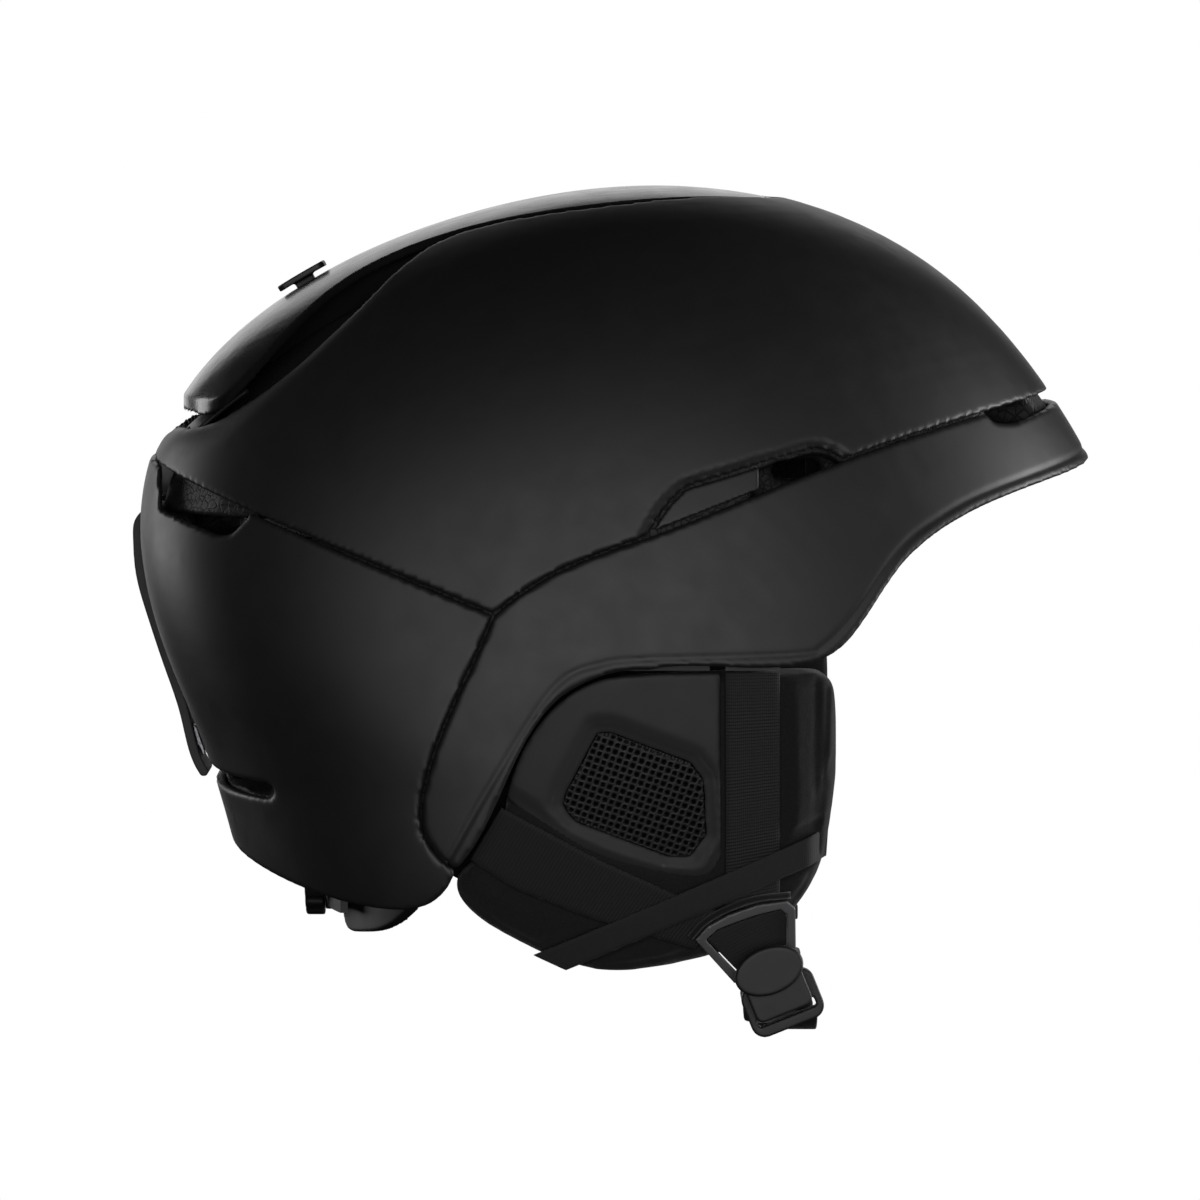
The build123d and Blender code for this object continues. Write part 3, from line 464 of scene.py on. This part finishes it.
def pressed_in(points, depth):
    """Points moved towards the middle of the head."""
    inward = HEAD_MIDDLE - points
    return points + inward / np.linalg.norm(inward, axis=1, keepdims=True) * depth[:, None]


def channel_distance(points):
    return path_distance(points[:, 0], np.abs(points[:, 1]), curve_through(CHANNEL_REAR))


def channel_lip(points, normals):
    """The crown rolls down into the channel round its rear."""
    depth = 3.6 * np.clip(1 - channel_distance(points) / 8.5, 0, 1) ** 2
    return pressed_in(points, depth * smooth((-62 - points[:, 0]) / 30))


def under_lip(points, normals):
    """The liner keeps clear of the crown's rolled lip at the back."""
    depth = 6.0 * np.clip(1 - channel_distance(points) / 11.5, 0, 1)
    return pressed_in(points, depth * smooth((-103 - points[:, 0]) / 11))


def settled_rim(piece):
    """Smooths the crown's thin edge round the rear of the channel."""
    points, pairs = vertex_array(piece.data), edge_array(piece.data)
    share = smooth(1.3 - channel_distance(points) / 3) * smooth((-80 - points[:, 0]) / 20)
    set_vertices(piece.data, points + (relaxed(points, pairs, 36) - points) * share[:, None])


def channel_ramp(crown):
    """The channel's floor where it comes up behind the spine and meets the crown's rear lip."""
    points = vertex_array(crown.data)
    back = points[(points[:, 0] < -100) & (points[:, 2] > 45)]
    across = np.linspace(-40, 40, 61)
    lip = []
    for y in across:
        near = back[np.abs(back[:, 1] - y) < 1.2]
        lip.append(near[near[:, 2].argmax()])
    lip = np.array(lip)
    for _ in range(12):
        lip[1:-1] = (lip[:-2] + 2 * lip[1:-1] + lip[2:]) / 4
    run = np.linspace(-0.4, 1, 15)      # 0 at the lip, 1 under the spine
    ahead, up = np.array([13.5, 0, 14.0]), np.array([-0.72, 0, 0.69])
    depth = 2.0 + 2.4 * np.clip(run, 0, 1) ** 1.5
    face = lip[:, None, :] + run[None, :, None] * ahead
    face = face - up * depth[None, :, None]
    grid_plate("channel_ramp", face, face - up * 1.2, "helmet", "shell_matte")


def build_spine():
    """The satin spine. Its edges and ribs, which face sideways or down, get a near-black painted shade."""
    spine = rounded("crown_spine", 0.55, 4)
    outward = face_array(spine.data, "center") - np.array([-20, 0, 20]) * MM
    outward /= np.linalg.norm(outward, axis=1, keepdims=True)
    # Painted shade: faces turned sideways or down are coloured near black.
    paint_shade_black(spine, np.einsum("ij,ij->i", outward, face_array(spine.data, "normal")) < 0.8)


def build_shells():
    crown = rounded("crown_shell", 0.75, 4, channel_lip, grow=0.22)
    settled_rim(crown)
    channel_ramp(crown)
    rounded("brim_band", 0.7, 4, rolled_rim, grow=0.22)
    rounded("rear_shell", 0.75, 4, grow=0.22)
    build_spine()
    rounded("foam_liner", 1.3, 3, under_lip)
    for side in SIDES:
        rounded("side_vent_cover_" + side, 0.45, 3)


# ---------------------------------------------------------------- ear pads

PAD_RADIUS, PAD_CENTRE_Y = 300.0, 199.5
PAD_HIGH = (-5.0, 5.0)      # X and Z of the ear pad's highest point
WINDOW = [(-3.6, -17.2), (0, -17.2), (22.5, -25.9), (26.3, -31.0), (27.1, -47), (22.5, -53.3),
          (16.9, -53.3), (-10.1, -42.8), (-13.5, -38.1), (-12.6, -34.5)]
PANEL_TOE = [(-29.5, -36.0), (-3, -52.9), (22, -59.2), (28.6, -58), (31.6, -52)]
PAD_FREE_EDGE = [(-46.2, -62.0), (-44, -67.5), (-25.8, -79.9), (-3, -88.3), (25.6, -84.2), (42.7, -79),
                 (55.5, -67.5), (62, -51.7), (63.9, -25.9), (64.7, -5.8)]
PANEL_LOOP = WING_EDGE[1:] + [(31, 0)] + PANEL_TOE[::-1]
PANEL_RECESS = 3.6          # width of CAD's step round the window
PANEL_BACK, PANEL_STEP = -3.0, -1.3     # lifts of CAD's panel: its back, and its face within the step
STRAP_FRONT = ([(32.5, -0.2), (32.9, -69.6)], [(48.0, -0.2), (48.4, -66.2)])
STRAP_REAR = ([(-31.0, -38.8), (-3.0, -54.2), (20.0, -65.0), (32.3, -70.2)],
              [(-40.0, -54.2), (-27.0, -62.6), (-6.0, -71.0), (24.0, -80.6)])
BAND = ([(-22.0, -82.1), (62.3, -45.4)], [(-12.7, -86.6), (61.8, -54.2)])
WEBBING_LIFTS, BAND_LIFTS = (-0.4, 0.9), (1.2, 2.4)


def inside(x, z, loop):
    """True for the side-view points inside a closed loop."""
    found = np.zeros(np.shape(x), bool)
    for (x0, z0), (x1, z1) in zip(loop, loop[1:] + loop[:1]):
        crossing = (z0 > z) != (z1 > z)
        if z0 != z1:
            found ^= crossing & (x < x0 + (z - z0) * (x1 - x0) / (z1 - z0))
    return found


def distance_outside(x, z, loop):
    """Distance to a closed loop, negative inside it."""
    away = path_distance(x, z, loop + loop[:1])
    return np.where(inside(x, z, loop), -away, away)


def on_pad(x, z, lift, side):
    """Points at a lift above the sphere that the ear pad's layers follow."""
    x, z, lift = np.broadcast_arrays(x, z, lift)
    depth = np.sqrt((PAD_RADIUS + lift) ** 2 - (x - PAD_HIGH[0]) ** 2 - (z - PAD_HIGH[1]) ** 2)
    return np.stack([x, (depth - PAD_CENTRE_Y) * SIDES[side], z], axis=-1)


def lift_of(points, side):
    """Height of points over the ear pad's sphere."""
    x, z = points[:, 0] - PAD_HIGH[0], points[:, 2] - PAD_HIGH[1]
    y = points[:, 1] * SIDES[side] + PAD_CENTRE_Y
    return np.sqrt(x ** 2 + y ** 2 + z ** 2) - PAD_RADIUS


def grid_plate(name, front, back, body, slot, uv=None, keep=None):
    """A closed plate from two grids of points, with the given cells left out."""
    rows, columns = front.shape[:2]
    keep = np.ones((rows - 1, columns - 1), bool) if keep is None else keep
    number = np.arange(rows * columns).reshape(rows, columns)
    corners = (number[:-1, :-1], number[1:, :-1], number[1:, 1:], number[:-1, 1:])
    quads = np.stack([c[keep] for c in corners], axis=1)
    total = rows * columns
    edges = np.concatenate([quads[:, [i, (i + 1) % 4]] for i in range(4)])
    key = edges[:, 0] * total + edges[:, 1]
    border = edges[~np.isin(key, edges[:, 1] * total + edges[:, 0])]
    walls = np.stack([border[:, 1], border[:, 0], border[:, 0] + total, border[:, 1] + total], axis=1)
    faces = np.concatenate([quads, quads[:, ::-1] + total, walls])
    used, faces = np.unique(faces, return_inverse=True)
    points = np.concatenate([front.reshape(-1, 3), back.reshape(-1, 3)])[used]
    piece = new_piece(name, points, faces.reshape(-1, 4).tolist(), body, slot)
    shell = bmesh.new()
    shell.from_mesh(piece.data)
    bmesh.ops.recalc_face_normals(shell, faces=shell.faces)
    shell.to_mesh(piece.data)
    shell.free()
    if uv is not None:
        place = np.concatenate([uv.reshape(-1, 2)] * 2)[used]
        write_uv(piece.data, place)
    return piece


def write_uv(mesh, place):
    """UVs in millimetres, one per vertex."""
    corner = np.empty(len(mesh.loops), dtype=np.int64)
    mesh.loops.foreach_get("vertex_index", corner)
    layer = mesh.uv_layers.new(name="weave")
    layer.data.foreach_set("uv", place[corner].astype(np.float32).ravel())


def side_uv(piece, degrees):
    """UVs from the side view, turned so that U runs along the webbing."""
    points = vertex_array(piece.data)
    along = np.array([math.cos(math.radians(degrees)), math.sin(math.radians(degrees))])
    across = np.array([-along[1], along[0]])
    flat = points[:, [0, 2]]
    write_uv(piece.data, np.stack([flat @ along, flat @ across], axis=1))


def along_edge(points, count):
    """Evenly spaced points on a polyline."""
    points = np.array(points, float)
    run = np.concatenate([[0], np.cumsum(np.hypot(*np.diff(points, axis=0).T))])
    t = np.linspace(0, run[-1], count)
    return np.stack([np.interp(t, run, points[:, 0]), np.interp(t, run, points[:, 1])], axis=1), run[-1]


def woven_strap(name, node, edges, lifts, side, rib, depth, tuck=0.0):
    """Ribbed webbing on the ear pad between two side-view edges, with round selvedges.

    The ribs are rib millimetres apart and depth deep. The far end wraps in by tuck.
    """
    length = along_edge(edges[0], 2)[1]
    count = int(length / 0.2)
    (a, _), (b, _) = along_edge(edges[0], count), along_edge(edges[1], count)
    t = np.concatenate([[0, 0.015, 0.04], np.linspace(0.08, 0.92, 14), [0.96, 0.985, 1]])
    flat = a[:, None, :] * (1 - t)[None, :, None] + b[:, None, :] * t[None, :, None]
    width = np.hypot(*(b - a).T)[:, None]
    u = np.linspace(0, length, count)[:, None] * np.ones_like(t)
    v = width * t
    selvedge = np.minimum(v, width - v)
    ribs = 0.5 - 0.5 * np.cos(2 * np.pi * (u / rib + 0.06 * np.sin(v * 1.3)))
    low, high = lifts
    face = high - 0.45 * np.exp(-(selvedge / 0.45) ** 2) - depth * (1 - ribs) * smooth(selvedge / 0.5)
    wrap = tuck * smooth((u - length + 9) / 9) ** 2
    front = on_pad(flat[..., 0], flat[..., 1], face - wrap, side)
    back = on_pad(flat[..., 0], flat[..., 1], np.full_like(face, low) - wrap, side)
    piece = grid_plate(name, front, back, BODY_OF[node], SLOT_OF[node], np.stack([u, v], axis=-1))
    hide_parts(node)


def panel_shape(side):
    """The panel's face: a soft sloping recess round the window, and a wide bevel along its toe."""
    def shape(points, normals):
        x, z, lift = points[:, 0], points[:, 2], lift_of(points, side)
        away = distance_outside(x, z, WINDOW)
        cad_face = np.where(away < PANEL_RECESS - 0.2, PANEL_STEP, 0.0)
        toe = path_distance(x, z, curve_through(PANEL_TOE))
        slope = np.maximum(2.1 * (1 - smooth((away - 0.3) / 6.2)), 1.5 * (1 - smooth(toe / 5.0)))
        target = 0.25 - slope
        share = np.clip((lift - PANEL_BACK) / (cad_face - PANEL_BACK), 0, 1.05)
        return on_pad(x, z, PANEL_BACK + share * (target - PANEL_BACK), side)
    return shape


def build_panel(side):
    piece = rounded("ear_pad_panel_" + side, 0.55, 2, panel_shape(side))
    points, pairs = vertex_array(piece.data), edge_array(piece.data)
    set_vertices(piece.data, relaxed(points, pairs, 6))


def build_mesh_window(side):
    """A moulded lattice of round bars with small holes whose floors get a near-black painted shade."""
    node = "ear_pad_mesh_" + side
    pitch, turn, step = 2.0, math.radians(-20), 0.25
    floor, bar_height, rim, back_lift = -4.6, 2.9, -2.2, -4.9
    x, z = np.meshgrid(np.arange(-15, 29, step), np.arange(-55, -15.5, step), indexing="ij")
    u = (x * math.cos(turn) + z * math.sin(turn)) / pitch
    v = (z * math.cos(turn) - x * math.sin(turn)) / pitch
    weave = 0.12 * np.sin(np.pi * u) * np.sin(np.pi * v)
    bars = np.maximum(np.abs(np.cos(np.pi * u)), np.abs(np.cos(np.pi * v)))
    face = floor + bar_height * smooth((bars - 0.52) / 0.24) + weave
    away = distance_outside(x, z, WINDOW)
    cell = (away[:-1, :-1] + away[1:, 1:]) / 2 < -0.1
    face = np.where(away > -0.9, np.maximum(face, rim), face)
    front, back = on_pad(x, z, face, side), on_pad(x, z, np.full_like(face, back_lift), side)
    piece = grid_plate("ear_pad_lattice_" + side, front, back, BODY_OF[node], "mesh_plastic", keep=cell)
    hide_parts(node)
    # Painted shade: the hole floors are coloured near black.
    paint_shade_black(piece, lift_of(face_array(piece.data, "center") / MM, side) < -3.3)


def covered_distance(x, z):
    """Distance from the straps and the panel, which hold the ear pad's fabric down."""
    loops = [a + b[::-1] for a, b in (STRAP_FRONT, STRAP_REAR, BAND)] + [PANEL_LOOP]
    nearest = np.minimum.reduce([distance_outside(x, z, loop) for loop in loops])
    return np.maximum(nearest, 0)


def swollen(piece, cap):
    """Inflates a closed mesh a little by cloth simulation, then caps how far each point moved."""
    stiffness, pressure, frames = 8.0, 4.0, 20
    start = vertex_array(piece.data)
    modifier = piece.modifiers.new("cloth", "CLOTH")
    settings = modifier.settings
    settings.quality = 5
    settings.mass = 0.2
    settings.tension_stiffness = settings.compression_stiffness = stiffness
    settings.shear_stiffness = stiffness
    settings.bending_stiffness = 0.4
    settings.use_pressure = True
    settings.uniform_pressure_force = pressure
    settings.effector_weights.gravity = 0
    modifier.collision_settings.use_collision = False
    modifier.point_cache.frame_start, modifier.point_cache.frame_end = 1, frames
    scene = bpy.context.scene
    for frame_number in range(1, frames + 1):
        scene.frame_set(frame_number)
    mesh = evaluated_mesh(piece)
    end = vertex_array(mesh)
    scene.frame_set(1)
    piece.modifiers.clear()
    move = end - start
    far = np.linalg.norm(move, axis=1, keepdims=True)
    move *= np.minimum(1, cap / np.maximum(far, 1e-9))
    set_vertices(piece.data, start + move)


def cover_name(node):
    """The name of a pad's cover: ear_pad_cover_left for ear_pad_left, else the node's name and _cover."""
    if node.startswith("ear_pad_"):
        return node.replace("ear_pad_", "ear_pad_cover_")
    return node + "_cover"


def soft_piece(node, voxel, shrink, cap, slot, passes=4):
    """A soft CAD solid as a crowned pad: remeshed a little smaller, then swollen by cloth simulation."""
    piece = remeshed(cover_name(node), node, voxel)
    points, pairs = vertex_array(piece.data), edge_array(piece.data)
    points = relaxed(points, pairs, passes)
    set_vertices(piece.data, points - normal_array(piece.data) * shrink)
    swollen(piece, cap)
    shade_smooth(piece.data)
    declare(piece, node, slot)
    return piece


def refined(piece):
    """One subdivision, applied, so that seams can be pressed in."""
    modifier = piece.modifiers.new("finer", "SUBSURF")
    modifier.levels = modifier.render_levels = 1
    mesh = evaluated_mesh(piece)
    piece.modifiers.clear()
    piece.data = mesh
    shade_smooth(mesh)


def build_ear_pad(side):
    """The soft ear pad: two vertical rolls in front, a sewn edge, and fabric that swells between the straps."""
    piece = soft_piece("ear_pad_" + side, 2.2, 0.5, cap=2.2, slot="ear_fabric", passes=3)
    refined(piece)
    points = vertex_array(piece.data)
    x, z, lift = points[:, 0], points[:, 2], lift_of(points, side)
    free = covered_distance(x, z)
    limit = -0.9 + 2.1 * smooth(free / 7.0)
    limit -= 2.9 * smooth((0.4 - distance_outside(x, z, PANEL_LOOP)) / 1.4)
    limit -= 1.9 * smooth((2.5 - distance_outside(x, z, WINDOW)) / 1.8)
    outer = lift > -7       # leaves the pad's inner half as it is
    roll = 0.9 * np.exp(-((x - 52.5) / 3.2) ** 2) - 0.8 * np.exp(-((x - 58.6) / 1.1) ** 2)
    roll *= smooth((z + 66) / 14) * smooth((1.5 - z) / 6)
    seam = -1.0 * np.exp(-((z + 4.2) / 0.8) ** 2) * smooth((x - 49) / 1.5)
    crease = -0.8 * np.exp(-((z + 44.5 - 0.42 * (x - 56)) / 1.2) ** 2) * smooth((x - 50) / 3)
    hem = path_distance(x, z, curve_through(PAD_FREE_EDGE))
    seam = seam - 0.55 * np.exp(-((hem - 3.0) / 0.6) ** 2) * smooth((free - 0.5) / 2)
    new = np.where(outer, np.minimum(lift, limit) + (roll + seam + crease) * smooth(free / 2.0), lift)
    set_vertices(piece.data, np.where(outer[:, None], on_pad(x, z, new, side), points))


def side_normals(path):
    """Unit normals of a side-view path."""
    slope = np.gradient(path, axis=0)
    return np.stack([-slope[:, 1], slope[:, 0]], axis=1) / np.hypot(*slope.T)[:, None]


def lining_strip(side):
    """A black lining strip, 2 mm wide, over the divider's arch."""
    points = [(23.6, -77.6), (27.3, -73.4), (33.3, -69.8), (42, -66.8), (51.6, -65.9)]
    arch = np.array(curve_through(points, 10))
    t = np.linspace(0, 1, 5)
    flat = arch[:, None, :] + side_normals(arch)[:, None, :] * (t * 2.0)[None, :, None]
    face = 3.0 - 1.4 * np.abs(2 * t - 1)[None, :] ** 3 * np.ones((len(arch), 1))
    front = on_pad(flat[..., 0], flat[..., 1], face, side)
    back = on_pad(flat[..., 0], flat[..., 1], np.full_like(face, 0.9), side)
    grid_plate("divider_lining_" + side, front, back, BODY_OF["strap_divider_" + side], "lining_fabric")


def build_gusset(side):
    """A fabric gusset between the back of the ear pad and the liner's lower edge, behind the shell's rim."""
    edge = np.array([(-46.5, -60.5)] + curve_through(WING_EDGE)[:-1] + [(11, 1.4), (40, 2.0), (62, 2.6)])
    edge, length = along_edge(edge, 90)
    reach = np.linspace(-7, 5, 9)
    flat = edge[:, None, :] + side_normals(edge)[:, None, :] * reach[None, :, None]
    lift = -14.5 - 0.9 * np.sin(reach / 2.2)[None, :] * np.ones((len(edge), 1))
    front = on_pad(flat[..., 0], flat[..., 1], lift, side)
    back = on_pad(flat[..., 0], flat[..., 1], lift - 0.9, side)
    piece = grid_plate("pad_gusset_" + side, front, back, "ear_" + side, "lining_fabric")


def build_ear(side):
    """Everything on one ear: pad, gusset, panel, mesh window, straps, band and divider."""
    build_ear_pad(side)
    build_gusset(side)
    build_panel(side)
    build_mesh_window(side)
    woven_strap("strap_front_weave_" + side, "strap_front_" + side, STRAP_FRONT, WEBBING_LIFTS, side,
                rib=0.95, depth=0.24)
    woven_strap("strap_rear_weave_" + side, "strap_rear_" + side, STRAP_REAR, WEBBING_LIFTS, side,
                rib=1.0, depth=0.18)
    woven_strap("pad_band_weave_" + side, "pad_band_" + side, BAND, BAND_LIFTS, side,
                rib=0.6, depth=0.02, tuck=5.5)
    rounded("strap_divider_" + side, 0.3, 3)
    side_uv(rounded("divider_webbing_" + side, 0.3, 2), -62)
    lining_strip(side)


def build_inside():
    """The comfort pads and the nape pad."""
    for where in ("front", "crown", "right", "left"):
        soft_piece("comfort_pad_" + where, 2.4, 0.4, cap=1.6, slot="lining_fabric")
    soft_piece("nape_pad", 2.2, 0.4, cap=1.4, slot="lining_fabric")


CHIN_X = 51.0               # middle of the chin strap


def drawn_in(points, normals=None):
    """The chin strap gathered to a slightly narrower width, so that it stays behind the buckle."""
    points = points.copy()
    share = smooth((-86 - points[:, 2]) / 6) * (0.3 + 0.7 * smooth((points[:, 1] + 75) / 30))
    points[:, 0] -= share * (2.0 + (points[:, 0] - CHIN_X) * 0.12)
    return points


def build_chin():
    """The chin strap, its length adjuster and its pad."""
    side_uv(rounded("chin_strap", 0.45, 2, drawn_in), 90)
    rounded("strap_adjuster", 0.32, 3, drawn_in)
    pad = soft_piece("chin_pad", 1.6, 0.3, cap=1.0, slot="lining_fabric", passes=2)
    set_vertices(pad.data, drawn_in(vertex_array(pad.data)))


def build_hard_parts():
    """Moulded and metal parts with their edges softened as moulded."""
    small = ("vent_knob", "goggle_clip", "goggle_clip_hook", "buckle_button", "buckle_tongue", "buckle_base")
    for node in small:
        rounded(node, 0.32, 3)
    for node in ("fit_dial", "nape_cradle", "fit_case", "vent_shutter"):
        rounded(node, 0.45, 2)


build_shells()
for side in SIDES:
    build_ear(side)
build_inside()
build_chin()
build_hard_parts()

for node, piece in NODES.items():
    if not piece.hide_render:
        dress(piece, SLOT_OF[node])
